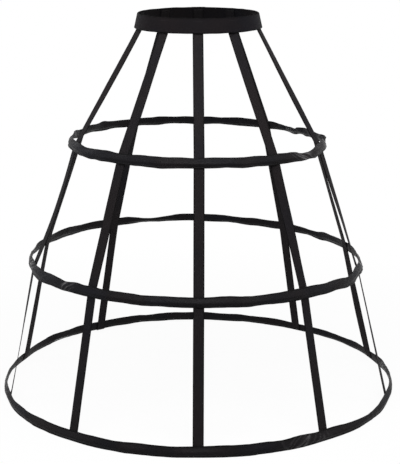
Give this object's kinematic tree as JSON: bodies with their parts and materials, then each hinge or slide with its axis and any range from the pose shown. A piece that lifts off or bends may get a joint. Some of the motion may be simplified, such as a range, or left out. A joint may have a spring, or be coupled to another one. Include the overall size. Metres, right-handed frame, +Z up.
{
  "type": "crinoline cage",
  "caption": "Bell-shaped cage crinoline: elastic waistband, flat ribbon tapes and sprung wire hoops in gathered ribbon casings, worn under a skirt to hold it out.",
  "frame": {"origin": "on the cage's axis, in the plane that the lower edge of the hem rests on", "axes": "+Z up along the cage's axis, -Y towards the front, +X to the right as seen from the front"},
  "size_m": [0.7989, 0.799, 0.7573],
  "materials": {
    "elastic": "black woven elastic",
    "tape_ribbon": "black ribbed ribbon",
    "casing_ribbon": "black satin-faced ribbon",
    "spring_steel": "drawn wire",
    "crimped_steel": "crimped"
  },
  "bodies": {
    "root": {"waistband": "elastic", "tape_front": "tape_ribbon", "tape_front_left": "tape_ribbon", "tape_left_front": "tape_ribbon", "tape_left_rear": "tape_ribbon", "tape_rear_left": "tape_ribbon", "tape_rear": "tape_ribbon", "tape_rear_right": "tape_ribbon", "tape_right_rear": "tape_ribbon", "tape_right_front": "tape_ribbon", "tape_front_right": "tape_ribbon", "casing_upper": "casing_ribbon", "casing_middle": "casing_ribbon", "casing_hem": "casing_ribbon", "hoop_upper": "spring_steel", "hoop_middle": "spring_steel", "hoop_hem": "spring_steel", "sleeve_upper": "crimped_steel", "sleeve_middle": "crimped_steel", "sleeve_hem": "crimped_steel"}
  },
  "joints": []
}
